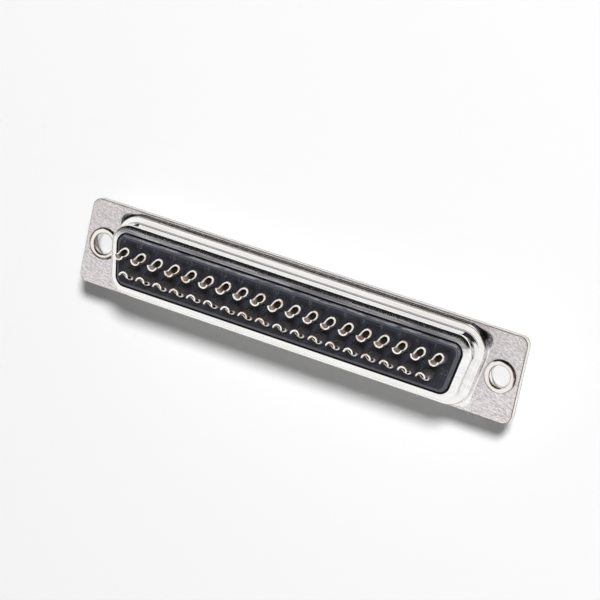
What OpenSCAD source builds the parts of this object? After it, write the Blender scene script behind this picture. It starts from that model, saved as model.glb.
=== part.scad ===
// D-subminiature plug connector with two rows of pins and solder cups.
// Two drawn steel shells are clinched together at the flange and hold a
// two-piece insulator, which traps the contacts by their collars.
// The plug stands on the mouth of its shroud: +Z points from the mating side
// towards the solder cups, X runs along the rows, and the long row is at +Y.

/* [Contact rows] */
// Number of contacts in the long row; the short row has one less
long_row_count = 19; // [5, 8, 13, 19]
// Distance between neighbouring contacts of one row
contact_pitch = 2.77; // [2.6:0.01:3.1]
// Distance between the two rows
row_gap = 2.84; // [2.6:0.01:3.2]

/* [Contacts] */
// Diameter of the mating pin
pin_d = 1.02; // [0.8:0.01:1.2]
// How far the pin tips stay inside the mouth of the shroud
pin_recess = 0.7; // [0.2:0.05:1.5]
// Diameter of the collar that the insulators trap
collar_d = 1.95; // [1.8:0.01:2.2]
// Height of the collar
collar_h = 0.8; // [0.4:0.05:1.1]
// Outside diameter of the solder cup
cup_d = 1.52; // [1.4:0.01:1.7]
// Diameter of the hollow of the solder cup
cup_bore_d = 1.06; // [0.8:0.01:1.2]
// Depth of the hollow, from the tip of the cup
cup_depth = 2.9; // [2.5:0.05:4]
// Length of the full tube between the insulator and the scoop
cup_stem_h = 1.05; // [0.7:0.05:2.5]
// Length of the scoop that opens the side of the cup
scoop_l = 2.1; // [1.8:0.05:2.4]
// Radius of the round cut that makes the scoop
scoop_r = 1.6; // [1.4:0.01:1.9]
// How far the scoop dips below the axis of the cup
scoop_dip = 0.13; // [0.05:0.01:0.3]

/* [Shells] */
// Thickness of the sheet of both shells
sheet_t = 0.6; // [0.4:0.01:0.7]
// Outside radius of the fold between a flange and its drawn wall
fold_r = 0.3; // [0.2:0.01:0.33]
// Slant of the two short sides, which keys the plug
side_slant = 10; // [0:0.5:12]
// Distance from the end contacts to the shroud, at half its height
shroud_end_gap = 2.78; // [2.4:0.01:3]
// Distance from the rows to the long walls of the shroud
shroud_side_gap = 2.76; // [2.4:0.01:2.9]
// Inside corner radius of the shroud
shroud_corner_r = 2.6; // [1.6:0.05:3]
// Height of the shroud in front of the flange
shroud_h = 5.9; // [5:0.05:8]

/* [Rear shell] */
// Distance from the end contacts to the edge of the rear opening
opening_end_gap = 2.15; // [1.7:0.01:2.25]
// Distance from the rows to the long edges of the rear opening
opening_side_gap = 2.43; // [2:0.01:2.5]
// Corner radius of the rear opening
opening_corner_r = 1.6; // [1:0.05:2.2]
// Width of the rim that is turned in over the insulator
rim_w = 1.1; // [0.9:0.01:1.15]
// Radius of the fold between the upper wall and the rim
rim_fold_r = 0.8; // [0.72:0.01:0.88]
// Height of the rim above the flange
rear_h = 4.4; // [3.8:0.05:7]
// Width of the step in the wall
step_w = 0.7; // [0.5:0.01:0.75]
// Height of the step above the flange
step_h = 1.4; // [1.3:0.05:2.2]
// Radius of the shoulder of the step
step_fold_r = 0.15; // [0.1:0.01:0.4]

/* [Flange] */
// Distance from the end contacts to the mounting holes
hole_end_gap = 6.82; // [6.7:0.01:9]
// Diameter of the mounting holes
hole_d = 3.05; // [2.5:0.01:3.2]
// Distance from the mounting holes to the ends of the flange
flange_end = 2.91; // [2.8:0.01:6]
// Distance from the rows to the long edges of the flange
flange_side = 4.855; // [4.83:0.005:8]
// Corner radius of the flange
flange_corner_r = 1.3; // [0.4:0.05:2.5]
// Wall of the collar that clinches the flanges together
clinch_t = 0.35; // [0.2:0.01:0.45]
// Width of the rolled lip of the collar, from the hole outwards
clinch_lip_w = 0.85; // [0.65:0.01:0.95]
// Height of the rolled lip above the flange
clinch_lip_h = 0.35; // [0.2:0.01:0.6]

/* [Insulators] */
// How far the front insulator reaches into the shroud
floor_rise = 0.3; // [0.1:0.05:1.5]
// How far the rear insulator stands proud of the rim
face_rise = 0.5; // [0.2:0.05:1.5]
// Bevel round the face of the rear insulator
face_bevel = 0.4; // [0.1:0.01:0.6]
// Diameter of the shallow well round each solder cup
well_d = 2.3; // [2:0.01:2.5]
// Depth of the wells
well_depth = 0.2; // [0.05:0.01:0.4]

/* [Fits] */
// Gap between an insulator and the shell round it
shell_clearance = 0.1; // [0.04:0.01:0.2]
// Gap between the rear insulator and the edge of the rim
rim_clearance = 0.15; // [0.05:0.01:0.25]
// Gap between a contact and its hole, on the radius
contact_clearance = 0.03; // [0.01:0.005:0.06]
// Gap between the clinched collar and the rear flange, on the radius
clinch_clearance = 0.04; // [0.01:0.01:0.1]

/* [Hidden] */
// Facets of a full circle, and steps of a fold in a section and of a corner
$fn = 96;
fold_steps = 6;
corner_steps = 10;
// Excess of a cut past the face that it opens
cut = 0.5;
// Small bevel along the mouth of the shroud
mouth_bevel = 0.12;
// End of a swept foot and edge of the window round it, in radii of the fold
foot_reach = 1.25;
window_reach = 1.1;

// Contacts and their places
contact_count = 2 * long_row_count - 1;
long_row_l = (long_row_count - 1) * contact_pitch;

// Levels along Z, from the mouth of the shroud upwards
flange_front_z = shroud_h;
seam_z = flange_front_z + sheet_t;
flange_rear_z = seam_z + sheet_t;
split_z = flange_rear_z + step_h - sheet_t - shell_clearance;
rim_z = flange_rear_z + rear_h;
face_z = rim_z + face_rise;
floor_z = flange_front_z - floor_rise;
cup_arch_z = face_z + cup_stem_h;
cup_top_z = cup_arch_z + scoop_l;

// D outlines: [length at half height, height, corner radius, slant of the sides]
function outline(end_gap, side_gap, r, slant) =
    [long_row_l + 2 * end_gap, row_gap + 2 * side_gap, r, slant];
shroud_in = outline(shroud_end_gap, shroud_side_gap, shroud_corner_r, side_slant);
opening = outline(opening_end_gap, opening_side_gap, opening_corner_r, side_slant);
flange = outline(hole_end_gap + flange_end, flange_side, flange_corner_r, 0);
base_out = grown(opening, rim_w + step_w);
base_in = grown(base_out, -sheet_t);
upper_in = grown(base_in, -step_w);

// Mounting holes and their clinched collars
hole_pitch = long_row_l + 2 * hole_end_gap;
hole_r = hole_d / 2;
clinch_r = hole_r + clinch_t;

function contact_name(n) = str("contact_", n < 10 ? "0" : "", n);

// Place of a contact: 1 starts the long row at +X, and the short row goes on from there
function in_long_row(n) = n <= long_row_count;
function contact_x(n) = in_long_row(n)
    ? long_row_l / 2 - (n - 1) * contact_pitch
    : (long_row_l - contact_pitch) / 2 - (n - long_row_count - 1) * contact_pitch;
function contact_y(n) = (in_long_row(n) ? 1 : -1) * row_gap / 2;

// An outline moved outwards by an even distance
function grown(d, by) = [d[0] + 2 * by / cos(d[3]), d[1] + 2 * by, d[2] + by, d[3]];

// Angles along an arc, and the points of a round fold
function arc(from, to, steps) = [for (i = [0 : steps]) from + (to - from) * i / steps];
function fold(centre, r, from, to) =
    [for (a = arc(from, to, fold_steps)) centre + r * [cos(a), sin(a)]];

// Stations clockwise round an outline: the centre of a corner arc, and a heading
function corner_x(d, y) = d[0] / 2 + (y * sin(d[3]) - d[2]) / cos(d[3]);
function right_stations(d) = let (y = d[1] / 2 - d[2]) concat(
    [for (a = arc(90, -d[3], corner_steps)) [corner_x(d, y), y, a]],
    [for (a = arc(-d[3], -90, corner_steps)) [corner_x(d, -y), -y, a]]
);
function stations(d) = let (right = right_stations(d)) concat(
    right,
    [for (i = [len(right) - 1 : -1 : 0]) [-right[i][0], right[i][1], 180 - right[i][2]]]
);
function at(station, r) = [station[0] + r * cos(station[2]), station[1] + r * sin(station[2])];

// Block with the given outline between two levels
module block(d, z0, z1) {
    translate([0, 0, z0]) linear_extrude(z1 - z0)
        polygon([for (s = stations(d)) at(s, d[2])]);
}

// Block with a bevel round its top
module bevelled_block(d, z0, z1, bevel) {
    hull() {
        block(d, z0, z1 - bevel);
        block(grown(d, -bevel), z0, z1);
    }
}

// Section swept round an outline. In the section, x is the distance outwards
// from the outline, y is the height, and the points run anticlockwise.
module swept(d, section) {
    ring = stations(d);
    m = len(section);
    n = len(ring);
    polyhedron(
        [for (s = ring) for (p = section) concat(at(s, d[2] + p[0]), p[1])],
        [for (i = [0 : n - 1]) for (j = [0 : m - 1])
            let (next_i = (i + 1) % n, next_j = (j + 1) % m)
            [i * m + j, next_i * m + j, next_i * m + next_j, i * m + next_j]]
    );
}

// Flange sheet with its two holes and the window for the drawn wall
module flange_sheet(z0, window, window_r) {
    difference() {
        block(flange, z0, z0 + sheet_t);
        block(window, z0 - cut, z0 + sheet_t + cut);
        for (side = [-1, 1]) translate([side * hole_pitch / 2, 0, z0 - cut])
            cylinder(r = window_r, h = sheet_t + 2 * cut);
    }
}

// Section of the shroud, drawn down from its flange
function shroud_section() = let (
    fold_c = [sheet_t + fold_r, flange_front_z - fold_r],
    foot = sheet_t + foot_reach * fold_r
) concat(
    [[foot, seam_z]],
    fold(fold_c, fold_r + sheet_t, 90, 180),
    [[0, mouth_bevel], [mouth_bevel, 0], [sheet_t - mouth_bevel, 0], [sheet_t, mouth_bevel]],
    fold(fold_c, fold_r, 180, 90),
    [[foot, flange_front_z]]
);

// Section of the rear shell: foot, step, upper wall and turned-in rim
function rear_section() = let (
    foot_c = [fold_r, flange_rear_z + fold_r],
    foot = foot_reach * fold_r,
    ledge_z = flange_rear_z + step_h,
    step_c = [-step_fold_r, ledge_z - step_fold_r],
    rim_c = [-step_w - rim_fold_r, rim_z - rim_fold_r],
    rim_edge = -step_w - rim_w
) concat(
    [[foot, flange_rear_z]],
    fold(foot_c, fold_r, 270, 180),
    fold(step_c, step_fold_r, 0, 90),
    [[-step_w, ledge_z]],
    fold(rim_c, rim_fold_r, 0, 90),
    [[rim_edge, rim_z], [rim_edge, rim_z - sheet_t]],
    fold(rim_c, rim_fold_r - sheet_t, 90, 0),
    [[-step_w - sheet_t, ledge_z - sheet_t], [-sheet_t, ledge_z - sheet_t]],
    fold(foot_c, fold_r + sheet_t, 180, 270),
    [[foot, seam_z]]
);

// Collar drawn up from the front flange, with its lip rolled over the rear one
module clinch() {
    lip_c = [hole_r + clinch_lip_w / 2, flange_rear_z];
    lip = [for (a = [180 : -15 : 0]) lip_c + [clinch_lip_w / 2 * cos(a), clinch_lip_h * sin(a)]];
    rotate_extrude() polygon(concat(
        [[clinch_r, flange_front_z], [hole_r + mouth_bevel, flange_front_z]],
        [[hole_r, flange_front_z + mouth_bevel]],
        lip,
        [[clinch_r, flange_rear_z]]
    ));
}

module front_shell() color("gainsboro") {
    window = grown(shroud_in, sheet_t + window_reach * fold_r);
    flange_sheet(flange_front_z, window, hole_r + clinch_t / 2);
    swept(shroud_in, shroud_section());
    for (side = [-1, 1]) translate([side * hole_pitch / 2, 0, 0]) clinch();
}

module rear_shell() color("silver") {
    window = grown(base_out, window_reach * fold_r);
    flange_sheet(seam_z, window, clinch_r + clinch_clearance);
    swept(base_out, rear_section());
}

module front_insulator() color("#26282e") {
    difference() {
        union() {
            block(grown(shroud_in, -shell_clearance), floor_z, split_z);
            block(grown(base_in, -shell_clearance), seam_z, split_z);
        }
        for (n = [1 : contact_count]) translate([contact_x(n), contact_y(n), 0]) {
            translate([0, 0, floor_z - cut])
                cylinder(d = pin_d + 2 * contact_clearance, h = split_z - floor_z + 2 * cut);
            translate([0, 0, split_z - collar_h])
                cylinder(d = collar_d + 2 * contact_clearance, h = collar_h + cut);
        }
    }
}

module rear_insulator() color("#2e3138") {
    shoulder_z = rim_z - sheet_t - shell_clearance;
    difference() {
        union() {
            bevelled_block(grown(upper_in, -shell_clearance), split_z, shoulder_z, rim_fold_r - sheet_t);
            bevelled_block(grown(opening, -rim_clearance), split_z, face_z, face_bevel);
        }
        for (n = [1 : contact_count]) translate([contact_x(n), contact_y(n), 0]) {
            translate([0, 0, split_z - cut])
                cylinder(d = cup_d + 2 * contact_clearance, h = face_z - split_z + 2 * cut);
            translate([0, 0, face_z - well_depth])
                cylinder(d = well_d, h = well_depth + cut);
        }
    }
}

// One contact: pin, trapped collar and solder cup, which opens away from the other row
module contact(n) color("#d9ccb0") {
    pin_r = pin_d / 2;
    collar_z = split_z - collar_h;
    scoop_y = scoop_r - scoop_dip;
    scoop_z = cup_arch_z + sqrt(pow(scoop_r, 2) - pow(cup_d / 2 - scoop_y, 2));
    translate([contact_x(n), contact_y(n), 0]) rotate([0, 0, in_long_row(n) ? 0 : 180])
        difference() {
            rotate_extrude() polygon(concat(
                fold([0, pin_recess + pin_r], pin_r, 270, 360),
                [[pin_r, collar_z], [collar_d / 2, collar_z], [collar_d / 2, split_z]],
                [[cup_d / 2, split_z], [cup_d / 2, cup_top_z], [0, cup_top_z]]
            ));
            translate([0, 0, cup_top_z - cup_depth])
                cylinder(d = cup_bore_d, h = cup_depth + cut);
            translate([0, scoop_y, scoop_z]) rotate([0, 90, 0])
                cylinder(r = scoop_r, h = cup_d + 2 * cut, center = true);
        }
}

front_shell();
rear_shell();
front_insulator();
rear_insulator();
for (n = [1 : contact_count])
    contact(n);
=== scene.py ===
"""Finish of a D-subminiature plug: tin-plated steel shells, black insulators, plated solder contacts."""

import math

import bmesh
import bpy
from mathutils import Euler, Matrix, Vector


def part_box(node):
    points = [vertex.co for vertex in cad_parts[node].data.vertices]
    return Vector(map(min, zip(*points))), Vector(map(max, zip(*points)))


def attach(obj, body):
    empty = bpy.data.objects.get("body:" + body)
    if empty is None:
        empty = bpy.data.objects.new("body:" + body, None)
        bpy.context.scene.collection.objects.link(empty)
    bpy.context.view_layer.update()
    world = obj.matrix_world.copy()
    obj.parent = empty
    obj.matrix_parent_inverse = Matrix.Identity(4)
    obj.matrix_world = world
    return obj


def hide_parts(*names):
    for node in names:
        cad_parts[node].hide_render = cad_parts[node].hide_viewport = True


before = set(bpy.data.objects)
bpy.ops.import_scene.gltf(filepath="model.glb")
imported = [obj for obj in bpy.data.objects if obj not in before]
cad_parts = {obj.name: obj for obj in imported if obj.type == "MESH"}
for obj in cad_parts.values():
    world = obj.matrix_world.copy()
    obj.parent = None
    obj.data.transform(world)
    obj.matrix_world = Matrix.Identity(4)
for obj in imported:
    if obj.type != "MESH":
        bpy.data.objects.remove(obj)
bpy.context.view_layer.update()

MM = 0.001


# ---------------------------------------------------------------- sizes, in millimetres

def level(node, corner):
    """Height of a solid's lowest (0) or highest (1) point."""
    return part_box(node)[corner].z / MM


def contact_place(number):
    """Axis of a contact, from the box of its solid."""
    low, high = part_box(f"contact_{number:02d}")
    return (low.x + high.x) / 2 / MM, (low.y + high.y) / 2 / MM


LONG_ROW = 19
CONTACTS = 2 * LONG_ROW - 1
PITCH = contact_place(1)[0] - contact_place(2)[0]
ROW_HALF = contact_place(1)[1]
ROW_LENGTH = contact_place(1)[0] - contact_place(LONG_ROW)[0]

# the steel sheets and their outlines
SHEET = 0.6
FOLD = 0.3
FOOT = 1.25 * FOLD
SLANT = 10
FLANGE_LENGTH = 69.32
FLANGE_WIDTH = 12.55
FLANGE_CORNER_R = 1.3
SHROUD_PAST_ROW = 2.78
SHROUD_BESIDE_ROW = 2.76
SHROUD_CORNER_R = 2.6
MOUTH_ROUND = 0.12
OPENING_PAST_ROW = 2.15
OPENING_BESIDE_ROW = 2.43
OPENING_CORNER_R = 1.6

MOUTH = level("front_shell", 0)
SEAM = level("rear_shell", 0)
FLANGE_FRONT = SEAM - SHEET
FLANGE_REAR = SEAM + SHEET
RIM = level("rear_shell", 1)
SPLIT = level("rear_insulator", 0)
FACE = level("rear_insulator", 1)

# the wall of the rear shell, from its foot to the rim turned in over the block
REAR_FOLD = 0.3
CORNER_SPREAD = 6.0
CORNER_RISE = 3.2
WALL_SWELL = 1.04
STEP = 1.4
LEDGE = FLANGE_REAR + STEP
STEP_WIDTH = 0.7
STEP_FOLD = 0.15
CREASE = 0.18
RIM_WIDTH = 1.1
RIM_FOLD = 0.8
EDGE_BREAK = 0.07
TOLERANCE = 0.001

# the two holes, with their clinched collars
HOLE_CENTRE = 31.75
HOLE_R = 1.525
BORE_FLARE = 0.12
BORE_FLARE_DEPTH = 0.14
BORE_EASE = 0.04
COLLAR_R = HOLE_R + 0.35
COLLAR_ROOM = 0.04
LIP_WIDTH = 0.85
LIP_HEIGHT = 0.35
HOLE_STEPS = 64

# the rear block and its wells
BLOCK_GAP = 0.26
BLOCK_ROOM = 0.1
FACE_BEVEL = 0.4
BEVEL_SOFT = 0.09
BEVEL_EASE = 0.02
BEVEL_DROP = 0.03
CUP_ROOM = 0.03
WELL_R = 1.15
WELL_DEPTH = 0.2
WELL_ROUND = 0.05
WELL_EASE = 0.015
BORE_BREAK = 0.02
WELL_STEPS = 32

# the contacts
CUP_R = 0.76
CUP_BORE_R = 0.53
CUP_TIP = level("contact_01", 1)
CUP_FLOOR = CUP_TIP - 2.9
ARCH = FACE + 1.05
SCOOP_R = 1.6
SCOOP_DIP = 0.13
KNEE = 0.1
RIM_ROUND = 0.085
CONTACT_COLLAR_R = 0.975
CONTACT_COLLAR_H = 0.8
PIN_R = 0.51
PIN_TIP = level("contact_01", 0)
SIDE_STEPS = 120
KNEE_STEPS = 10
TIP_STEPS = 40
SIDE_POINTS = 28
TIP_POINTS = 10
WALL_ROWS = 6

# the raised position numbers
NUMBER_SIZE = 1.2
NUMBER_SPACING = 0.92
NUMBER_HALF_HEIGHT = 0.02
NUMBER_THINNER = 0.008
NUMBER_LIFT = 0.012
NUMBER_BESIDE_ROW = 1.36
SHORT_NUMBER_ALONG = 2.05
SHORT_NUMBER_Y = -0.55
WELD = 0.0005

# where smooth shading breaks, in degrees, and how strongly flat faces hold their own shading
SHARP_ANGLE = 38
CONTACT_SHARP_ANGLE = 50
FLAT_WEIGHT = 80


def arc(start, end, steps):
    """Even values from one end to the other."""
    return [start + (end - start) * i / steps for i in range(steps + 1)]


def fold(centre, radius, start, end, steps=8, height=None):
    """Points of a round fold in a section, from one angle to another; a height of its own flattens it."""
    high = radius if height is None else height
    turns = [math.radians(a) for a in arc(start, end, steps)]
    return [(centre[0] + radius * math.cos(a), centre[1] + high * math.sin(a)) for a in turns]


class Outline:
    """A D outline with round corners: its ring of points at any distance outwards and any height."""

    def __init__(self, length, height, radius, slant=0.0, steps=18):
        self.size = (length, height, slant)
        self.radius = radius
        self.steps = steps
        turn = math.radians(slant)
        y = height / 2 - radius

        def centre_x(at_y):
            return length / 2 + (at_y * math.sin(turn) - radius) / math.cos(turn)

        right = [(centre_x(y), y, a) for a in arc(90, -slant, steps)]
        right += [(centre_x(-y), -y, a) for a in arc(-slant, -90, steps)]
        left = [(-x, at_y, 180 - a) for x, at_y, a in reversed(right)]
        self.stations = right + left

    def grown(self, by):
        """The same outline moved outwards by a distance."""
        length, height, slant = self.size
        wider = 2 * by / math.cos(math.radians(slant))
        return Outline(length + wider, height + 2 * by, self.radius + by, slant, self.steps)

    def ring(self, out, z):
        """Points round the outline, at a distance outwards and a height."""
        r = self.radius + out
        turned = [(x, y, math.radians(a)) for x, y, a in self.stations]
        return [(x + r * math.cos(a), y + r * math.sin(a), z) for x, y, a in turned]


def circle(x, y, radius, z, steps):
    """Points round an upright axis."""
    turns = [2 * math.pi * i / steps for i in range(steps)]
    return [(x + radius * math.cos(a), y - radius * math.sin(a), z) for a in turns]


flange = Outline(FLANGE_LENGTH, FLANGE_WIDTH, FLANGE_CORNER_R)
shroud = Outline(
    ROW_LENGTH + 2 * SHROUD_PAST_ROW,
    2 * (ROW_HALF + SHROUD_BESIDE_ROW),
    SHROUD_CORNER_R,
    SLANT,
)
opening = Outline(
    ROW_LENGTH + 2 * OPENING_PAST_ROW,
    2 * (ROW_HALF + OPENING_BESIDE_ROW),
    OPENING_CORNER_R,
    SLANT,
)
wall_base = opening.grown(RIM_WIDTH + STEP_WIDTH)
block_side = wall_base.grown(-SHEET - STEP_WIDTH - BLOCK_ROOM)
block_face = opening.grown(-BLOCK_GAP)


# ---------------------------------------------------------------- making meshes

def put(name, data):
    """An object in the scene, made from a mesh, a text, a light or a camera."""
    made = bpy.data.objects.new(name, data)
    bpy.context.scene.collection.objects.link(made)
    return made


class Skin:
    """A surface under construction, made of rings of points joined by strips and fills."""

    def __init__(self):
        self.bm = bmesh.new()

    def ring(self, points):
        """Corners at points given in millimetres."""
        return [self.bm.verts.new(Vector(p) * MM) for p in points]

    def strip(self, rings, finish=0):
        """Joins each ring to the next one."""
        for lower, upper in zip(rings, rings[1:]):
            for i in range(len(lower)):
                j = (i + 1) % len(lower)
                face = self.bm.faces.new((lower[i], lower[j], upper[j], upper[i]))
                face.material_index = finish

    def sweep(self, outline, section, finish=0):
        """Carries an open section round an outline and returns its first and last ring."""
        rings = [self.ring(outline.ring(out, z)) for out, z in section]
        self.strip(rings, finish)
        return rings[0], rings[-1]

    def turn(self, x, y, section, finish, steps):
        """Turns an open section round an upright axis and returns its first and last ring."""
        rings = [self.ring(circle(x, y, r, z, steps)) for r, z in section]
        self.strip(rings, finish)
        return rings[0], rings[-1]

    def fill(self, loops, finish=0):
        """Fills the flat region between the outermost loop and the loops inside it."""
        edges = []
        for loop in loops:
            for i, vert in enumerate(loop):
                other = loop[(i + 1) % len(loop)]
                edges.append(self.bm.edges.get((vert, other)) or self.bm.edges.new((vert, other)))
        made = bmesh.ops.triangle_fill(self.bm, use_beauty=True, use_dissolve=False, edges=edges)
        for item in made["geom"]:
            if isinstance(item, bmesh.types.BMFace):
                item.material_index = finish

    def piece(self, name, materials, stands_for, sharp=SHARP_ANGLE):
        """Makes the object, lets flat faces stay flat beside their folds, and sets it on the body."""
        bmesh.ops.recalc_face_normals(self.bm, faces=self.bm.faces)
        mesh = bpy.data.meshes.new(name)
        self.bm.to_mesh(mesh)
        self.bm.free()
        mesh.shade_smooth()
        mesh.set_sharp_from_angle(angle=math.radians(sharp))
        for material in materials:
            mesh.materials.append(material)
        made = put(name, mesh)
        flatten = made.modifiers.new("flat faces stay flat", "WEIGHTED_NORMAL")
        flatten.keep_sharp = True
        flatten.weight = FLAT_WEIGHT
        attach(made, "root")
        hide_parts(stands_for)


# ---------------------------------------------------------------- shader node groups

class Nodes:
    """Short calls for adding and joining the nodes of one tree."""

    def __init__(self, tree):
        self.tree = tree

    def give(self, socket, value):
        """Joins a socket to another one, or sets it to a plain value."""
        if isinstance(value, bpy.types.NodeSocket):
            self.tree.links.new(value, socket)
        else:
            socket.default_value = value

    def add(self, kind, inputs=None, **settings):
        """A node with its settings, and with its inputs by name or by place."""
        node = self.tree.nodes.new(kind)
        for key, value in settings.items():
            setattr(node, key, value)
        for key, value in (inputs or {}).items():
            self.give(node.inputs[key], value)
        return node

    def group(self, group, **inputs):
        """A shader node group with its own values, underscores standing for spaces."""
        node = self.tree.nodes.new("ShaderNodeGroup")
        node.node_tree = group
        for key, value in inputs.items():
            self.give(node.inputs[key.replace("_", " ")], value)
        return node.outputs

    def math(self, operation, a, b=0.0, clamp=False):
        return self.add("ShaderNodeMath", {0: a, 1: b}, operation=operation, use_clamp=clamp).outputs[0]

    def times(self, first, *others):
        """Product of two or more values."""
        for other in others:
            first = self.math("MULTIPLY", first, other)
        return first

    def most(self, first, *others):
        """Greatest of two or more values."""
        for other in others:
            first = self.math("MAXIMUM", first, other)
        return first

    def ramp(self, value, low, high, to_low=0.0, to_high=1.0):
        """Value moved from one range to another, held at its ends."""
        return self.add(
            "ShaderNodeMapRange",
            {"Value": value, "From Min": low, "From Max": high, "To Min": to_low, "To Max": to_high},
            interpolation_type="SMOOTHSTEP",
        ).outputs["Result"]

    def rise(self, value, low, high, to_low=0.0, to_high=1.0):
        """Ramp between two lengths in millimetres; it falls where the first one is the greater."""
        return self.ramp(value, low * MM, high * MM, to_low, to_high)

    def band(self, value, low, high, soft):
        """Mask of the values between two lengths in millimetres, fading just inside both ends."""
        return self.times(self.rise(value, low, low + soft), self.rise(value, high, high - soft))

    def mix(self, factor, a, b):
        return self.add("ShaderNodeMix", {"Factor": factor, "A": a, "B": b}, data_type="FLOAT").outputs[0]

    def blend(self, factor, a, b):
        """One colour or the other, as the factor says."""
        return self.add("ShaderNodeMix", {0: factor, 6: a, 7: b}, data_type="RGBA").outputs[2]

    def place(self):
        """Position on the part, in metres."""
        return self.add("ShaderNodeTexCoord").outputs["Object"]

    def axes(self):
        """Position on the part along X, Y and Z, in metres."""
        return self.add("ShaderNodeSeparateXYZ", {0: self.place()}).outputs

    def wander(self, value, noise, length):
        """A position that wanders with a noise, by up to half a length in millimetres either way."""
        return self.math("ADD", value, self.times(self.math("SUBTRACT", noise, 0.5), length * MM))

    def from_hole(self, xyz, along=0.0, across=0.0):
        """Distance to the axis of the nearer hole, both holes moved by two lengths in millimetres."""
        x = self.math("ABSOLUTE", self.math("ADD", xyz["X"], along * MM))
        x = self.math("SUBTRACT", x, HOLE_CENTRE * MM)
        y = self.math("ADD", xyz["Y"], across * MM)
        return self.math("SQRT", self.math("ADD", self.times(x, x), self.times(y, y)))

    def relief(self, height, depth, strength=1.0):
        """Normal of a relief, its full depth in millimetres."""
        node = self.add("ShaderNodeBump", {"Height": height, "Distance": depth * MM, "Strength": strength})
        return node.outputs[0]


def new_group(name, inputs, outputs):
    """An empty shader node group with named sockets, and the calls to fill it."""
    tree = bpy.data.node_groups.new(name, "ShaderNodeTree")
    for socket, kind, value in inputs:
        made = tree.interface.new_socket(socket, in_out="INPUT", socket_type=kind)
        made.default_value = value
    for socket, kind in outputs:
        tree.interface.new_socket(socket, in_out="OUTPUT", socket_type=kind)
    nodes = Nodes(tree)
    return tree, nodes, nodes.add("NodeGroupInput").outputs, nodes.add("NodeGroupOutput").inputs


FLOAT = "NodeSocketFloat"


def make_grain():
    """Fine grain, drawn out along one direction: lines per metre across it, their length and their turn."""
    tree, n, given, out = new_group(
        "drawn_grain",
        [("Lines", FLOAT, 4000.0), ("Stretch", FLOAT, 4.0), ("Turn", FLOAT, 0.0), ("Detail", FLOAT, 3.0)],
        [("Grain", FLOAT)],
    )
    turned = n.add(
        "ShaderNodeVectorRotate",
        {"Vector": n.place(), "Angle": given["Turn"]},
        rotation_type="Z_AXIS",
    ).outputs[0]
    along = n.math("DIVIDE", given["Lines"], given["Stretch"])
    scale = n.add("ShaderNodeCombineXYZ", {"X": along, "Y": given["Lines"], "Z": given["Lines"]}).outputs[0]
    scaled = n.add("ShaderNodeVectorMath", {0: turned, 1: scale}, operation="MULTIPLY").outputs[0]
    noise = n.add(
        "ShaderNodeTexNoise",
        {"Vector": scaled, "Scale": 1.0, "Detail": given["Detail"], "Roughness": 0.55, "Distortion": 0.6},
    ).outputs["Fac"]
    n.give(out["Grain"], noise)
    return tree


def make_specks():
    """Scattered specks: how many per metre, and how much of the surface they take."""
    tree, n, given, out = new_group(
        "specks",
        [("Count", FLOAT, 5000.0), ("Amount", FLOAT, 0.2), ("Softness", FLOAT, 0.08)],
        [("Mask", FLOAT)],
    )
    noise = n.add(
        "ShaderNodeTexNoise",
        {"Vector": n.place(), "Scale": given["Count"], "Detail": 4.0, "Roughness": 0.7},
    ).outputs["Fac"]
    edge = n.math("SUBTRACT", 0.78, n.times(given["Amount"], 0.5))
    n.give(out["Mask"], n.ramp(noise, edge, n.math("ADD", edge, given["Softness"])))
    return tree


def make_waves():
    """Slow unevenness of a formed or moulded surface."""
    tree, n, given, out = new_group(
        "slow_waves",
        [("Waves", FLOAT, 300.0), ("Detail", FLOAT, 1.0)],
        [("Height", FLOAT)],
    )
    noise = n.add(
        "ShaderNodeTexNoise",
        {"Vector": n.place(), "Scale": given["Waves"], "Detail": given["Detail"], "Roughness": 0.45},
    ).outputs["Fac"]
    n.give(out["Height"], noise)
    return tree


GRAIN = make_grain()
SPECKS = make_specks()
WAVES = make_waves()


# ---------------------------------------------------------------- colours

MATT_TIN = (0.50, 0.466, 0.468, 1)
MATT_TIN_PALE = (0.89, 0.845, 0.84, 1)
DRAWN_TIN = (0.88, 0.87, 0.86, 1)
DRAWN_TIN_PALE = (0.95, 0.945, 0.935, 1)
# painted shade: the darker rim on its long +Y side
RIM_SHADE_TIN = (0.20, 0.195, 0.205, 1)
# grey scuffs of real wear, spread thicker on the rim's +Y side as painted shade
SCUFF_AND_SHADE_TIN = (0.30, 0.29, 0.29, 1)
# painted shade at the foot of the rear shell's top corners
CORNER_SHADE_TIN = (0.11, 0.105, 0.11, 1)
# painted shade in the crease of the step
CREASE_SHADE_TIN = (0.66, 0.64, 0.63, 1)
TANNED_TIN = (0.56, 0.43, 0.22, 1)
CUT_STEEL = (0.80, 0.77, 0.71, 1)
CUT_STEEL_PALE = (0.96, 0.94, 0.90, 1)
ARRIS_BROWN = (0.22, 0.165, 0.115, 1)
ARRIS_DARK = (0.12, 0.085, 0.06, 1)
LIP_BRIGHT = (0.88, 0.835, 0.785, 1)
# painted shade round the foot of a collar's lip and the top of its bore
LIP_SHADE = (0.07, 0.045, 0.03, 1)
PLASTIC = (0.010, 0.0105, 0.016, 1)
PLASTIC_PALE = (0.019, 0.0195, 0.029, 1)
DUST = (0.13, 0.13, 0.14, 1)
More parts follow.
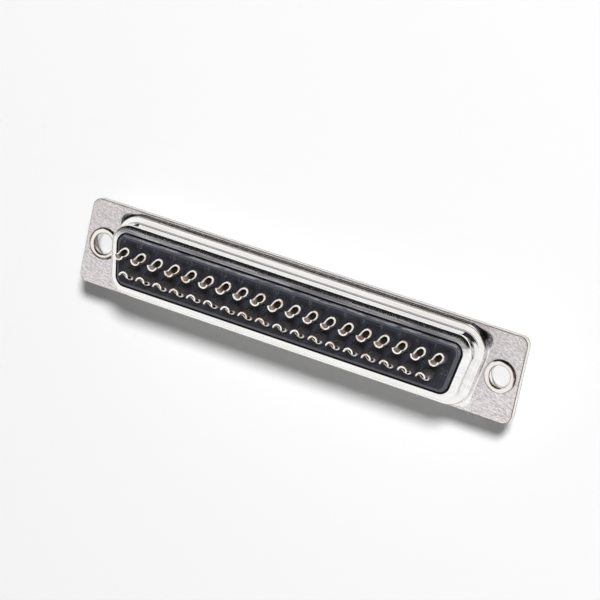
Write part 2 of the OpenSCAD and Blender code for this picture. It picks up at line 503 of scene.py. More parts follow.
# painted highlight: grey of the block's bevel
BEVEL_HIGHLIGHT_GREY = (0.06, 0.06, 0.074, 1)
BEVEL_HIGHLIGHT_PALE = (0.26, 0.255, 0.285, 1)
NUMBER_BLACK = (0.03, 0.033, 0.042, 1)
NUMBER_GREY = (0.075, 0.08, 0.095, 1)
CUP_PLATE = (0.60, 0.56, 0.55, 1)
CUP_PLATE_PALE = (0.74, 0.71, 0.70, 1)
PIN_PLATE = (0.92, 0.84, 0.69, 1)
PIN_PLATE_PALE = (0.95, 0.91, 0.82, 1)
HOLLOW_STAIN = (0.20, 0.165, 0.135, 1)
HOLLOW_STAIN_PALE = (0.44, 0.38, 0.33, 1)
# painted shade deep in a cup's hollow
HOLLOW_SHADE = (0.035, 0.03, 0.026, 1)
TUMBLED = (0.96, 0.93, 0.87, 1)
TUMBLED_PALE = (1.0, 0.985, 0.96, 1)
COPPER_TINGE = (0.80, 0.60, 0.42, 1)

# the part of its range in which a noise mostly moves
NOISE = (0.3, 0.7)
MID_NOISE = (0.35, 0.65)


# ---------------------------------------------------------------- materials

def empty_tree(owner):
    """Clears the nodes of a material or a world and gives the calls to fill it."""
    owner.use_nodes = True
    owner.node_tree.nodes.clear()
    return Nodes(owner.node_tree)


def new_material(name):
    """An empty material with its Principled shader, and the calls to fill it."""
    material = bpy.data.materials.new(name)
    n = empty_tree(material)
    shader = n.add("ShaderNodeBsdfPrincipled")
    n.add("ShaderNodeOutputMaterial", {"Surface": shader.outputs[0]})
    return material, n, shader


def wire(n, shader, **inputs):
    """Fills the inputs of a shader, underscores standing for spaces."""
    for key, value in inputs.items():
        n.give(shader.inputs[key.replace("_", " ")], value)


def tin_plate():
    """Flanges with a matt diagonal grain, and burnished walls where the die has drawn the sheet."""
    material, n, shader = new_material("tin_plate")
    xyz = n.axes()
    z = xyz["Z"]
    off_flange = (0.002, 0.06)
    above = n.rise(z, FLANGE_REAR + off_flange[0], FLANGE_REAR + off_flange[1])
    below = n.rise(z, FLANGE_FRONT - off_flange[0], FLANGE_FRONT - off_flange[1])
    drawn = n.most(above, below)
    on_rim = n.rise(z, RIM - 0.30, RIM - 0.06)
    far_along = n.math("ABSOLUTE", xyz["X"])
    far_across = n.math("ABSOLUTE", xyz["Y"])
    long_side = n.rise(xyz["Y"], 2.6, 4.0)
    both_sides = n.rise(far_across, 3.8, 4.8)
    corner = n.times(n.rise(far_along, 26.8, 28.4), long_side)

    grain = n.group(GRAIN, Lines=8500.0, Stretch=3.6, Turn=0.22, Detail=3.0)["Grain"]
    fine = n.group(GRAIN, Lines=15000.0, Stretch=2.5, Turn=0.3, Detail=2.0)["Grain"]
    streaks = n.group(GRAIN, Lines=1800.0, Stretch=16.0, Turn=0.0, Detail=3.0)["Grain"]
    specks = n.group(SPECKS, Count=6200.0, Amount=0.5, Softness=0.1)["Mask"]
    corner_shade_mottle = n.group(SPECKS, Count=5200.0, Amount=0.9, Softness=0.16)["Mask"]
    waves = n.group(WAVES, Waves=260.0, Detail=1.5)["Height"]

    # real scuffs on the rim, thicker on its +Y side as painted shade
    scuffs_and_shade = n.times(specks, on_rim, n.rise(xyz["Y"], 2.0, 4.4, 0.3, 1.0))
    # painted shade: the rim darkened in streaks on its long +Y side
    painted_rim_shade = n.times(on_rim, long_side, n.ramp(streaks, 0.34, 0.60, 1.0, 0.62))
    # painted shade: grey along the crease of the step on the long +Y side
    crease_shade = n.times(n.band(z, LEDGE + 0.005, LEDGE + CREASE + 0.05, 0.04), long_side)
    shoulder = n.times(n.band(z, LEDGE - 0.115, LEDGE - 0.005, 0.03), both_sides)
    at_foot = n.band(z, FLANGE_REAR + 0.005, FLANGE_REAR + 1.0, 0.06)
    # painted shade: dark mottled patches at the foot of the wall's corners on the +Y side
    painted_corner_shade = n.times(at_foot, corner, n.ramp(corner_shade_mottle, 0.0, 1.0, 0.5, 1.0))

    grained = n.blend(n.ramp(grain, 0.36, 0.62), MATT_TIN, MATT_TIN_PALE)
    walled = n.blend(n.ramp(streaks, *NOISE), DRAWN_TIN, DRAWN_TIN_PALE)
    colour = n.blend(drawn, grained, walled)
    colour = n.blend(painted_rim_shade, colour, RIM_SHADE_TIN)
    colour = n.blend(n.times(scuffs_and_shade, 0.6), colour, SCUFF_AND_SHADE_TIN)
    colour = n.blend(painted_corner_shade, colour, CORNER_SHADE_TIN)
    colour = n.blend(crease_shade, colour, CREASE_SHADE_TIN)
    colour = n.blend(shoulder, colour, TANNED_TIN)

    matt = n.ramp(grain, *NOISE, 0.34, 0.5)
    burnished = n.ramp(streaks, *NOISE, 0.05, 0.10)
    marks = n.times(n.most(scuffs_and_shade, painted_rim_shade, painted_corner_shade, crease_shade), 0.2)
    rough = n.math("ADD", n.mix(drawn, matt, burnished), marks, clamp=True)
    metal = n.math("SUBTRACT", 1.0, n.times(n.most(shoulder, crease_shade), 0.6))

    height = n.math("ADD", n.times(grain, 0.75), n.times(fine, 0.25))
    smoothed = n.ramp(corner, 0.0, 1.0, 0.04, 0.2)
    height = n.times(height, n.ramp(drawn, 0.0, 1.0, 1.0, smoothed))
    height = n.math("SUBTRACT", height, n.times(scuffs_and_shade, 0.5))
    height = n.math("ADD", height, n.times(waves, 0.8))
    wire(n, shader, Base_Color=colour, Metallic=metal, Roughness=rough, Normal=n.relief(height, 0.028))
    return material


def sheared_edge():
    """Cut edge of the sheet: bright where the punch has burnished it, brown along its arrises."""
    material, n, shader = new_material("sheared_edge")
    lines = n.group(GRAIN, Lines=5000.0, Stretch=0.3, Turn=0.0, Detail=3.0)["Grain"]
    wavy = n.wander(n.axes()["Z"], lines, 0.06)
    lower = n.rise(wavy, SEAM - 0.30, SEAM - 0.42)
    upper = n.rise(wavy, FLANGE_REAR - 0.22, FLANGE_REAR - 0.12)
    colour = n.blend(n.ramp(lines, *NOISE), CUT_STEEL, CUT_STEEL_PALE)
    colour = n.blend(lower, colour, ARRIS_BROWN)
    colour = n.blend(upper, colour, ARRIS_DARK)
    rough = n.ramp(lines, *NOISE, 0.25, 0.42)
    wire(n, shader, Base_Color=colour, Metallic=1.0, Roughness=rough, Normal=n.relief(lines, 0.02, 0.8))
    return material


def rolled_lip():
    """Lip of a clinched collar: burnished on top, with painted shade, dark brown in patches, round its foot
    and at the top of its bore.
    """
    material, n, shader = new_material("rolled_lip")
    xyz = n.axes()
    radius = n.from_hole(xyz)
    slow = n.group(WAVES, Waves=330.0, Detail=1.0)["Height"]
    foot_r = HOLE_R + LIP_WIDTH
    outside = n.rise(n.wander(radius, slow, 0.9), foot_r - 0.30, foot_r - 0.10)
    at_lip = n.rise(xyz["Z"], FLANGE_REAR - 0.12, FLANGE_REAR + 0.02)
    inside = n.times(n.rise(radius, HOLE_R + 0.12, HOLE_R + 0.02), at_lip)
    waves = n.group(WAVES, Waves=900.0, Detail=3.0)["Height"]
    patchy = n.ramp(waves, 0.3, 0.6, 0.6, 1.0)
    # painted shade, in patches, round the lip's foot and the top of the bore
    foot_and_bore_shade = n.math("MULTIPLY", n.most(outside, inside), patchy, clamp=True)
    colour = n.blend(foot_and_bore_shade, LIP_BRIGHT, LIP_SHADE)
    rough = n.mix(foot_and_bore_shade, 0.14, 0.34)
    wire(n, shader, Base_Color=colour, Metallic=1.0, Roughness=rough, Normal=n.relief(waves, 0.03, 0.7))
    return material


def moulded_black():
    """Glass-filled black plastic with a bluish cast, a little dust and flow marks."""
    material, n, shader = new_material("moulded_black")
    flow = n.group(WAVES, Waves=700.0, Detail=4.0)["Height"]
    fibre = n.group(GRAIN, Lines=7000.0, Stretch=2.6, Turn=0.1, Detail=3.0)["Grain"]
    dust = n.group(SPECKS, Count=3600.0, Amount=0.2, Softness=0.07)["Mask"]
    colour = n.blend(n.ramp(flow, *NOISE), PLASTIC, PLASTIC_PALE)
    colour = n.blend(n.times(dust, 0.5), colour, DUST)
    rough = n.math("ADD", n.ramp(fibre, *NOISE, 0.32, 0.48), n.times(dust, 0.2))
    height = n.math("ADD", fibre, n.times(flow, 1.6))
    wire(n, shader, Base_Color=colour, Roughness=rough, Normal=n.relief(height, 0.012, 0.8))
    wire(n, shader, Specular_IOR_Level=0.28)
    return material


def rubbed_black():
    """Bevel of the block, painted grey as a highlight, in streaks that are lighter on its +Y side and away
    from the face's edge.
    """
    material, n, shader = new_material("rubbed_black")
    xyz = n.axes()
    # painted highlight: grey streaks on the bevel, lighter on its +Y side
    bevel_highlight = n.group(GRAIN, Lines=2600.0, Stretch=5.0, Turn=0.0, Detail=4.0)["Grain"]
    bevel_highlight = n.times(bevel_highlight, n.rise(xyz["Y"], 2.0, 3.5, 0.6, 1.0))
    bevel_highlight = n.times(bevel_highlight, n.rise(xyz["Z"], FACE - 0.06, FACE - 0.20))
    colour = n.blend(n.ramp(bevel_highlight, 0.32, 0.62), BEVEL_HIGHLIGHT_GREY, BEVEL_HIGHLIGHT_PALE)
    rough = n.ramp(bevel_highlight, *NOISE, 0.35, 0.55)
    wire(n, shader, Base_Color=colour, Roughness=rough, Normal=n.relief(bevel_highlight, 0.015, 0.8))
    wire(n, shader, Specular_IOR_Level=0.5)
    return material


def moulded_number():
    """The same plastic on top of the raised numbers, rubbed a little lighter."""
    material, n, shader = new_material("moulded_number")
    flow = n.group(WAVES, Waves=1500.0, Detail=3.0)["Height"]
    colour = n.blend(n.ramp(flow, *NOISE), NUMBER_BLACK, NUMBER_GREY)
    rough = n.ramp(flow, *NOISE, 0.35, 0.5)
    wire(n, shader, Base_Color=colour, Roughness=rough, Normal=n.relief(flow, 0.01, 0.6))
    wire(n, shader, Specular_IOR_Level=0.4)
    return material


def plated_contact():
    """Plating of a contact: pale gold on its pin, duller and greyer on its solder cup."""
    material, n, shader = new_material("plated_contact")
    mottle = n.ramp(n.group(WAVES, Waves=1400.0, Detail=4.0)["Height"], *MID_NOISE)
    lines = n.group(GRAIN, Lines=9000.0, Stretch=1.0, Turn=0.0, Detail=3.0)["Grain"]
    cups = n.blend(mottle, CUP_PLATE, CUP_PLATE_PALE)
    pins = n.blend(mottle, PIN_PLATE, PIN_PLATE_PALE)
    colour = n.blend(n.rise(n.axes()["Z"], SPLIT + 0.2, SPLIT - 0.2), cups, pins)
    rough = n.ramp(lines, *NOISE, 0.32, 0.42)
    wire(n, shader, Base_Color=colour, Metallic=0.97, Roughness=rough, Normal=n.relief(lines, 0.003, 0.5))
    return material


def cup_hollow():
    """Inside of a solder cup: the plating is thinner and stained grey-brown, and painted shade darkens it
    towards the floor.
    """
    material, n, shader = new_material("cup_hollow")
    painted_deep_shade = n.rise(n.axes()["Z"], CUP_TIP - 0.9, CUP_FLOOR + 0.8)
    mottle = n.group(WAVES, Waves=1600.0, Detail=4.0)["Height"]
    colour = n.blend(n.ramp(mottle, *MID_NOISE), HOLLOW_STAIN, HOLLOW_STAIN_PALE)
    colour = n.blend(painted_deep_shade, colour, HOLLOW_SHADE)
    rough = n.ramp(mottle, *NOISE, 0.3, 0.5)
    wire(n, shader, Base_Color=colour, Metallic=0.35, Roughness=rough, Normal=n.relief(mottle, 0.02, 0.8))
    return material


def rubbed_edge():
    """Edge of a solder cup, cut by the scoop and tumbled: the brightest metal of the contact."""
    material, n, shader = new_material("rubbed_edge")
    lines = n.group(GRAIN, Lines=9000.0, Stretch=1.0, Turn=0.0, Detail=3.0)["Grain"]
    mottle = n.group(WAVES, Waves=1700.0, Detail=2.0)["Height"]
    colour = n.blend(n.ramp(lines, *NOISE), TUMBLED, TUMBLED_PALE)
    colour = n.blend(n.ramp(mottle, 0.50, 0.66), colour, COPPER_TINGE)
    rough = n.ramp(lines, *NOISE, 0.26, 0.38)
    wire(n, shader, Base_Color=colour, Metallic=0.3, Roughness=rough, Normal=n.relief(lines, 0.01, 0.6))
    return material


TIN = tin_plate()
EDGE = sheared_edge()
LIP = rolled_lip()
BLACK = moulded_black()
NUMBER = moulded_number()
HIGHLIT_BEVEL = rubbed_black()
PLATED = plated_contact()
HOLLOW = cup_hollow()
RUBBED_EDGE = rubbed_edge()

SHELL_FINISHES = [TIN, EDGE, LIP]
ON_TIN, ON_EDGE, ON_LIP = 0, 1, 2
BLOCK_FINISHES = [BLACK, HIGHLIT_BEVEL]
ON_BLACK, ON_BEVEL = 0, 1
CONTACT_FINISHES = [PLATED, HOLLOW, RUBBED_EDGE]
ON_PLATE, IN_HOLLOW, ON_CUP_EDGE = 0, 1, 2


# ---------------------------------------------------------------- pieces

def flange_edge(bottom, top):
    """Section of a sheet's cut edge, broken at both arrises."""
    e = EDGE_BREAK
    return fold((-e, bottom + e), e, 270, 360, 3) + fold((-e, top - e), e, 0, 90, 3)


def add_flange(skin, bottom, top, window, hole, hole_finish):
    """Adds a flange: its cut edge, its two holes and the flat faces between them and the window."""
    lower, upper = skin.sweep(flange, flange_edge(bottom, top), ON_EDGE)
    lower_loops, upper_loops = [lower, window[0]], [upper, window[1]]
    for side in (-1, 1):
        first, last = skin.turn(side * HOLE_CENTRE, 0, hole, hole_finish, HOLE_STEPS)
        lower_loops.append(first)
        upper_loops.append(last)
    skin.fill(lower_loops)
    skin.fill(upper_loops)


def make_front_shell():
    """Shroud, front flange and the two collars that clinch the flanges together."""
    skin = Skin()
    foot = SHEET + FOOT
    fold_centre = (SHEET + FOLD, FLANGE_FRONT - FOLD)
    lip = MOUTH + MOUTH_ROUND
    inside = [(foot, SEAM)] + fold(fold_centre, FOLD + SHEET, 90, 180)
    inside += [(0, lip)] + fold((MOUTH_ROUND, lip), MOUTH_ROUND, 180, 270, 3)[1:]
    outside = fold((SHEET - MOUTH_ROUND, lip), MOUTH_ROUND, 270, 360, 3)
    outside += fold(fold_centre, FOLD, 180, 90) + [(foot, FLANGE_FRONT)]
    upper_window, lower_window = skin.sweep(shroud, inside + outside)
    lip_centre = (HOLE_R + LIP_WIDTH / 2, FLANGE_REAR)
    collar = [(HOLE_R + BORE_FLARE, FLANGE_FRONT), (HOLE_R + BORE_EASE, FLANGE_FRONT + BORE_EASE)]
    collar += [(HOLE_R, FLANGE_FRONT + BORE_FLARE_DEPTH)]
    collar += fold(lip_centre, LIP_WIDTH / 2, 180, 0, 16, LIP_HEIGHT)
    collar += [(COLLAR_R, FLANGE_REAR), (COLLAR_R, SEAM)]
    add_flange(skin, FLANGE_FRONT, SEAM, (lower_window, upper_window), collar, ON_LIP)
    skin.piece("front_shell_sheet", SHELL_FINISHES, "front_shell")


def swollen(out, z):
    """A ring of the drawn wall: a little further out at its long sides, its foot wider at the corners."""
    steps = wall_base.steps
    on_foot = out >= 0 and z <= FLANGE_REAR + REAR_FOLD + TOLERANCE
    ring = []
    for i, (x, y, a) in enumerate(wall_base.stations):
        turned = math.radians(a)
        round_corner = math.sin(math.pi * (i % (steps + 1)) / steps)
        corner = round_corner ** 4 * math.cos(turned) ** 2 if on_foot else 0
        r = wall_base.radius + out * (1 + CORNER_SPREAD * corner)
        height = max(z - FLANGE_REAR, 0) * CORNER_RISE * corner
        ring.append((x + r * math.cos(turned), (y + r * math.sin(turned)) * WALL_SWELL, z + height))
    return ring


def make_rear_shell():
    """Rear flange, stepped wall and the rim turned in over the insulator."""
    skin = Skin()
    e = EDGE_BREAK
    foot_centre = (REAR_FOLD, FLANGE_REAR + REAR_FOLD)
    rim_centre = (-STEP_WIDTH - RIM_FOLD, RIM - RIM_FOLD)
    rim_edge = -STEP_WIDTH - RIM_WIDTH
    wall = fold(foot_centre, REAR_FOLD, 270, 180, 12)
    wall += fold((-STEP_FOLD, LEDGE - STEP_FOLD), STEP_FOLD, 0, 90)
    rim = fold((-STEP_WIDTH + CREASE, LEDGE + CREASE), CREASE, 270, 180, 4)
    rim += fold(rim_centre, RIM_FOLD, 0, 90, 10)
    rim += fold((rim_edge + e, RIM - e), e, 90, 180, 3)
    rim += fold((rim_edge + e, RIM - SHEET + e), e, 180, 270, 3)
    rim += fold(rim_centre, RIM_FOLD - SHEET, 90, 0, 3)
    rim += [(-STEP_WIDTH - SHEET, LEDGE - SHEET)]
    inside = [(-SHEET, LEDGE - SHEET)] + fold(foot_centre, REAR_FOLD + SHEET, 180, 270)
    rings = [skin.ring(swollen(out, z)) for out, z in wall]
    rings += [skin.ring(wall_base.ring(out, z)) for out, z in rim]
    rings += [skin.ring(swollen(out, z)) for out, z in inside]
    skin.strip(rings, ON_TIN)
    hole = [(COLLAR_R + COLLAR_ROOM, SEAM), (COLLAR_R + COLLAR_ROOM, FLANGE_REAR)]
    add_flange(skin, SEAM, FLANGE_REAR, (rings[-1], rings[0]), hole, ON_EDGE)
    skin.piece("rear_shell_sheet", SHELL_FINISHES, "rear_shell")


def make_rear_insulator():
    """Moulded block with a bevelled face and a shallow well round each solder cup."""
    skin = Skin()
    shoulder = RIM - SHEET - BLOCK_ROOM
    below_bevel = FACE - FACE_BEVEL - BEVEL_SOFT
    first, side_top = skin.sweep(block_side, [(0, SPLIT), (0, shoulder)], ON_BLACK)
    shoulder_inner, bevel_low = skin.sweep(block_face, [(0, shoulder), (0, below_bevel)], ON_BLACK)
    slope = [(-BEVEL_EASE, FACE - FACE_BEVEL), (-0.5 * FACE_BEVEL, FACE - 0.5 * FACE_BEVEL)]
    slope += [(-FACE_BEVEL + BEVEL_EASE, FACE - BEVEL_DROP), (-FACE_BEVEL - BEVEL_SOFT, FACE)]
    bevel = [bevel_low] + [skin.ring(block_face.ring(out, z)) for out, z in slope]
    skin.strip(bevel, ON_BEVEL)
    skin.fill([side_top, shoulder_inner])
    bore = CUP_R + CUP_ROOM
    bottom = FACE - WELL_DEPTH
    well = [(bore, SPLIT), (bore, bottom - BORE_BREAK), (bore + BORE_BREAK, bottom)]
    well += [(WELL_R - WELL_ROUND, bottom), (WELL_R, bottom + WELL_ROUND), (WELL_R, FACE - WELL_ROUND)]
    well += [(WELL_R + WELL_EASE, FACE - WELL_EASE), (WELL_R + WELL_ROUND, FACE)]
    floors, wells = [], []
    for number in range(1, CONTACTS + 1):
        low, high = skin.turn(*contact_place(number), well, ON_BLACK, WELL_STEPS)
        floors.append(low)
        wells.append(high)
    skin.fill([first] + floors)
    skin.fill([bevel[-1]] + wells)
    skin.piece("rear_insulator_block", BLOCK_FINISHES, "rear_insulator")


def evenly(points, count):
    """A fixed count of points at even distances along a line of points, both ends included."""
    reached = [0.0]
    for a, b in zip(points, points[1:]):
        reached.append(reached[-1] + (b - a).length)
    spaced, at = [], 0
    for target in arc(0, reached[-1], count - 1):
        while at < len(points) - 2 and reached[at + 1] < target:
            at += 1
        part = (target - reached[at]) / (reached[at + 1] - reached[at])
        spaced.append(points[at].lerp(points[at + 1], part))
    return spaced


def cup_rim(radius):
    """Half of a solder cup's edge on one radius, from the middle of its arch to the back of its tip."""
    scoop_y = SCOOP_R - SCOOP_DIP
    scoop_z = ARCH + math.sqrt(SCOOP_R ** 2 - (scoop_y - CUP_R) ** 2)

    def on_scoop(angle):
        return Vector((scoop_y - SCOOP_R * math.cos(angle), scoop_z + SCOOP_R * math.sin(angle)))

    low = -math.acos((scoop_y - radius) / SCOOP_R)
    high = math.asin((CUP_TIP - scoop_z) / SCOOP_R)
    knee = high - KNEE / SCOOP_R
    side = [on_scoop(low + (knee - low) * u * u) for u in arc(0, 1, SIDE_STEPS)]
    start, corner = on_scoop(knee), on_scoop(high)
    end = corner - Vector((KNEE, 0))
    side += [start.lerp(corner, u).lerp(corner.lerp(end, u), u) for u in arc(0, 1, KNEE_STEPS)[1:]]
    round_tip = arc(math.asin(end[0] / radius), -math.pi / 2, TIP_STEPS)
    tip = [Vector((radius * math.sin(a), CUP_TIP)) for a in round_tip]

    def wrapped(line):
        return [Vector((math.sqrt(max(radius ** 2 - y * y, 0)), y, z)) for y, z in line]

    return evenly(wrapped(side), SIDE_POINTS) + evenly(wrapped(tip), TIP_POINTS)[1:]


def into_wall(rim, radius):
    """At each point of a rim, the direction along the cup's wall that leads away from the edge."""
    ways = []
    for i, point in enumerate(rim):
        if i in (0, len(rim) - 1):
            along = Vector((1 if i == 0 else -1, 0, 0))
        else:
            along = (rim[i + 1] - rim[i - 1]).normalized()
        ways.append(Vector((point.x, point.y, 0)).cross(along) / radius)
    return ways


def wall_rows(rim, radius, low_z, rows):
    """Rows of points down a round wall, from near its rim to an even ring at the given height."""
    last = len(rim) - 1
    made = []
    for down in arc(0, 1, rows):
        row = []
        for i, point in enumerate(rim):
            above = math.atan2(point.y, point.x)
            below = math.pi * (0.5 - i / last)
            a = above + (below - above) * down
            z = point.z + (low_z - point.z) * down
            row.append(Vector((radius * math.cos(a), radius * math.sin(a), z)))
        made.append(row)
    return made


def round_row(radius, z, count):
    """Half a ring of a turned part, with its points where the cup's wall ends."""
    turns = [math.pi * (0.5 - i / (count - 1)) for i in range(count)]
    return [Vector((radius * math.cos(a), radius * math.sin(a), z)) for a in turns]


def contact_rows():
    """Half rings of one contact, from the tip of its pin over the cup's edge to the floor of its hollow."""
    outer, inner = cup_rim(CUP_R), cup_rim(CUP_BORE_R)
    across = [(b - a).normalized() for a, b in zip(outer, inner)]
    outer_half = (outer, into_wall(outer, CUP_R), arc(0, 90, 4), RIM_ROUND)
    inner_half = (inner, into_wall(inner, CUP_BORE_R), arc(90, 0, 4), -RIM_ROUND)
    edge_rows = []
    for rim, ways, turns, inwards in (outer_half, inner_half):
        for angle in turns:
            down = RIM_ROUND * (1 - math.sin(math.radians(angle)))
            over = inwards * (1 - math.cos(math.radians(angle)))
            edge_rows.append([p + down * w + over * d for p, w, d in zip(rim, ways, across)])
    pin = fold((0, PIN_TIP + PIN_R), PIN_R, 276, 360, 6)
    pin += [(PIN_R, SPLIT - CONTACT_COLLAR_H), (CONTACT_COLLAR_R, SPLIT - CONTACT_COLLAR_H)]
    pin += [(CONTACT_COLLAR_R, SPLIT), (CUP_R, SPLIT)]
    outside = [round_row(r, z, len(outer)) for r, z in pin]
    outside += list(reversed(wall_rows(edge_rows[0], CUP_R, FACE - WELL_DEPTH, WALL_ROWS)))
    inside = wall_rows(edge_rows[-1], CUP_BORE_R, CUP_FLOOR, WALL_ROWS)
    return outside, edge_rows, inside


def make_contact(number, outside, edge, inside):
    """One contact in its place: pin, trapped collar, and solder cup open away from the other row."""
    x0, y0 = contact_place(number)
    way = 1 if y0 > 0 else -1
    skin = Skin()

    def full(row):
        """A whole ring from half of one, turned to face its own side."""
        mirrored = [Vector((-p.x, p.y, p.z)) for p in row[-2:0:-1]]
        return skin.ring([(x0 + way * p.x, y0 + way * p.y, p.z) for p in row + mirrored])

    outer_rings = [full(row) for row in outside]
    edge_rings = [outer_rings[-1]] + [full(row) for row in edge[1:]]
    inner_rings = [edge_rings[-1]] + [full(row) for row in inside[1:]]
    skin.strip(outer_rings, ON_PLATE)
    skin.strip(edge_rings, ON_CUP_EDGE)
    skin.strip(inner_rings, IN_HOLLOW)
    skin.fill([outer_rings[0]], ON_PLATE)
    skin.fill([inner_rings[-1]], IN_HOLLOW)
    name = f"contact_{number:02d}"
    skin.piece(f"soldering_{name}", CONTACT_FINISHES, name, CONTACT_SHARP_ANGLE)


def raised_number(number, x, y):
    """Mesh of one position number, standing on the face of the block."""
    words = bpy.data.curves.new(f"number_{number}", "FONT")
    words.body = str(number)
    words.size = NUMBER_SIZE * MM
    words.space_character = NUMBER_SPACING
    words.extrude = NUMBER_HALF_HEIGHT * MM
    words.offset = -NUMBER_THINNER * MM
    words.align_x = "CENTER"
    words.align_y = "CENTER"
    stencil = put(words.name, words)
    stencil.location = Vector((x, y, FACE + NUMBER_LIFT)) * MM
    bpy.context.view_layer.update()
    seen = stencil.evaluated_get(bpy.context.evaluated_depsgraph_get())
    shaped = bpy.data.meshes.new_from_object(seen)
    shaped.transform(stencil.matrix_world)
    bpy.data.objects.remove(stencil)
    bpy.data.curves.remove(words)
    return shaped


def make_numbers():
    """Raised position numbers beside the wells: the long row in full, and the first of the short row."""
    number_y = ROW_HALF + NUMBER_BESIDE_ROW
    places = {n: (contact_place(n)[0] - PITCH / 2, number_y) for n in range(1, LONG_ROW + 1)}
    first = LONG_ROW + 1
    places[first] = (contact_place(first)[0] + SHORT_NUMBER_ALONG, SHORT_NUMBER_Y)
    joined = bmesh.new()
    for number, (x, y) in places.items():
        shaped = raised_number(number, x, y)
        joined.from_mesh(shaped)
        bpy.data.meshes.remove(shaped)
    bmesh.ops.remove_doubles(joined, verts=joined.verts, dist=WELD * MM)
    mesh = bpy.data.meshes.new("position_numbers")
    joined.to_mesh(mesh)
    joined.free()
    mesh.materials.append(NUMBER)
    made = put("position_numbers", mesh)
    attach(made, "root")


def set_finish(node, material):
    """Gives a solid its finish and leaves its shape alone."""
    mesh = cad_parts[node].data
    mesh.materials.clear()
    mesh.materials.append(material)


make_front_shell()
make_rear_shell()
make_rear_insulator()
make_numbers()
set_finish("front_insulator", BLACK)
shape = contact_rows()
for contact in range(1, CONTACTS + 1):
    make_contact(contact, *shape)


# ---------------------------------------------------------------- floor, light and camera

WHITE = (1, 1, 1, 1)
PAPER = (0.92, 0.92, 0.92, 1)
CARD_GREY = (0.55, 0.53, 0.525, 1)
CARD_DARK = (0.02, 0.02, 0.022, 1)

FLOOR_HALF = 1500
FLOOR_DROP = 0.02
FLOOR_CLEAR = 0.3
# a painted pool of light on the floor, where it is seen through the holes
PAINTED_POOL_MOVED = (2.6, 1.7)
PAINTED_POOL_R = 1.4
PAINTED_POOL_FADE_R = 2.6
PAINTED_POOL_GLOW = 0.85
FLOOR_GLOW = 0.04

# the long card stands behind the long row, the other one at the left end
BACK_CARD = [(-46, 16, 3.5), (68, 16, 3.5), (68, 16, 34), (-46, 16, 34)]
LEFT_CARD = [(-46, -26, 5), (-46, 16, 5), (-46, 16, 18), (-46, -26, 18)]

WORLD_LIGHT = 0.10
# name, place in metres, width in metres, power in watts
LAMPS = [
    ("key", (0.72, 1.02, 1.62), 0.36, 47.5),
    ("fill", (0.70, -0.6, 1.0), 1.2, 0.8),
    ("under", (0.1, -0.1, -0.5), 0.5, 2.5),
]
LIT_SPOT = (0, 0, 0.005)

CAMERA_PLACE = (0.16516, 0.10799, 0.37751)
CAMERA_TURN = (-9.181, 26.490, 12.998)
LENS = 180
SENSOR = 36


def shown_straight(n):
    """Whether a ray is the camera's or a reflection's, and not the light that falls on things."""
    path = n.add("ShaderNodeLightPath").outputs
    mirrored = n.most(path["Is Glossy Ray"], path["Is Transmission Ray"])
    return n.most(path["Is Camera Ray"], mirrored)


def make_floor():
    """Pale floor, open under the mouth so that light also reaches the pins, with a painted pool of light
    below the holes, where it lies in the part's shadow.
    """
    skin = Skin()
    corners = [(-1, 1), (1, 1), (1, -1), (-1, -1)]
    outer = skin.ring([(x * FLOOR_HALF, y * FLOOR_HALF, -FLOOR_DROP) for x, y in corners])
    skin.fill([outer, skin.ring(shroud.ring(FLOOR_CLEAR, -FLOOR_DROP))])
    mesh = bpy.data.meshes.new("floor")
    skin.bm.to_mesh(mesh)
    skin.bm.free()
    if mesh.polygons[0].normal.z < 0:
        mesh.flip_normals()

    material = bpy.data.materials.new("pale_floor")
    n = empty_tree(material)
    from_painted_pool = n.from_hole(n.axes(), *PAINTED_POOL_MOVED)
    glow_and_painted_pool = n.times(shown_straight(n), n.rise(from_painted_pool, PAINTED_POOL_R, PAINTED_POOL_FADE_R, PAINTED_POOL_GLOW, FLOOR_GLOW))
    paper = n.add("ShaderNodeBsdfDiffuse", {"Color": PAPER}).outputs[0]
    glow = n.add("ShaderNodeEmission", {"Color": WHITE, "Strength": 1.0}).outputs[0]
    lit = n.add("ShaderNodeMixShader", {0: glow_and_painted_pool, 1: paper, 2: glow}).outputs[0]
    clear = n.add("ShaderNodeBsdfTransparent").outputs[0]
    from_below = n.add("ShaderNodeNewGeometry").outputs["Backfacing"]
    shown = n.add("ShaderNodeMixShader", {0: from_below, 1: lit, 2: clear}).outputs[0]
    n.add("ShaderNodeOutputMaterial", {"Surface": shown})
    mesh.materials.append(material)
    put("floor", mesh)


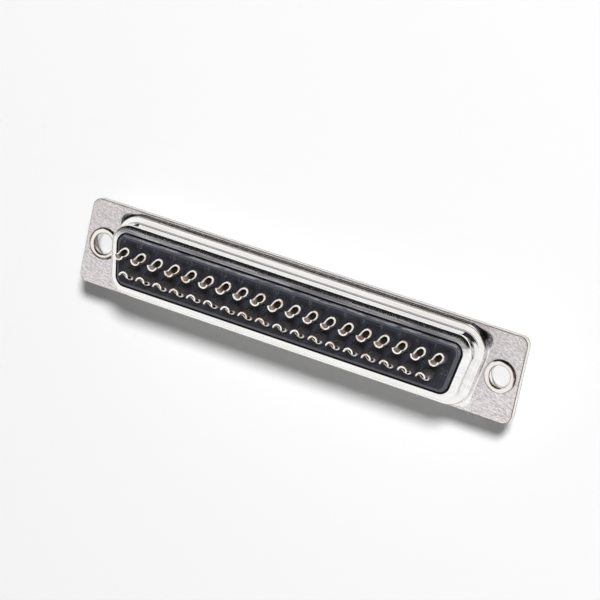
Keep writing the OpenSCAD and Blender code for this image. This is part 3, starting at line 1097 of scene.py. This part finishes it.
def make_card(name, corners, from_colour, to_colour, axis, start, end):
    """A card that only the metal's reflections show, its colour changing along an axis."""
    mesh = bpy.data.meshes.new(name)
    bm = bmesh.new()
    bm.faces.new([bm.verts.new(Vector(corner) * MM) for corner in corners])
    bm.to_mesh(mesh)
    bm.free()
    material = bpy.data.materials.new(name)
    n = empty_tree(material)
    colour = n.blend(n.rise(n.axes()[axis], start, end), from_colour, to_colour)
    reflected = n.add("ShaderNodeLightPath").outputs["Is Glossy Ray"]
    shade = n.add("ShaderNodeEmission", {"Color": colour, "Strength": 1.0}).outputs[0]
    clear = n.add("ShaderNodeBsdfTransparent").outputs[0]
    shown = n.add("ShaderNodeMixShader", {0: reflected, 1: clear, 2: shade}).outputs[0]
    n.add("ShaderNodeOutputMaterial", {"Surface": shown})
    mesh.materials.append(material)
    put(name, mesh)


def make_world():
    """Soft light from everywhere, and white where the camera or a reflection looks past the floor."""
    world = bpy.data.worlds.new("studio")
    bpy.context.scene.world = world
    n = empty_tree(world)
    soft = n.add("ShaderNodeBackground", {"Color": WHITE, "Strength": WORLD_LIGHT}).outputs[0]
    white = n.add("ShaderNodeBackground", {"Color": WHITE, "Strength": 1.0}).outputs[0]
    both = n.add("ShaderNodeMixShader", {0: shown_straight(n), 1: soft, 2: white}).outputs[0]
    n.add("ShaderNodeOutputWorld", {"Surface": both})


def make_lamp(name, place, width, power):
    """A round lamp that lights the object and shows in nothing."""
    lamp = bpy.data.lights.new(name, "AREA")
    lamp.shape = "DISK"
    lamp.size = width
    lamp.energy = power
    made = put(name, lamp)
    made.location = place
    towards = Vector(LIT_SPOT) - made.location
    made.rotation_euler = towards.to_track_quat("-Z", "Y").to_euler()
    made.visible_camera = False
    made.visible_glossy = False


def make_camera():
    lens = bpy.data.cameras.new("camera")
    lens.lens = LENS
    lens.sensor_width = SENSOR
    lens.clip_start = 0.01
    camera = put("camera", lens)
    camera.location = CAMERA_PLACE
    camera.rotation_euler = Euler([math.radians(a) for a in CAMERA_TURN])
    bpy.context.scene.camera = camera


make_floor()
make_card("dark_card", BACK_CARD, CARD_DARK, WHITE, "X", 42, 66)
make_card("left_card", LEFT_CARD, CARD_GREY, CARD_DARK, "Y", 2, 9)
make_world()
for lamp_row in LAMPS:
    make_lamp(*lamp_row)
make_camera()

view = bpy.context.scene.view_settings
view.view_transform = "Standard"
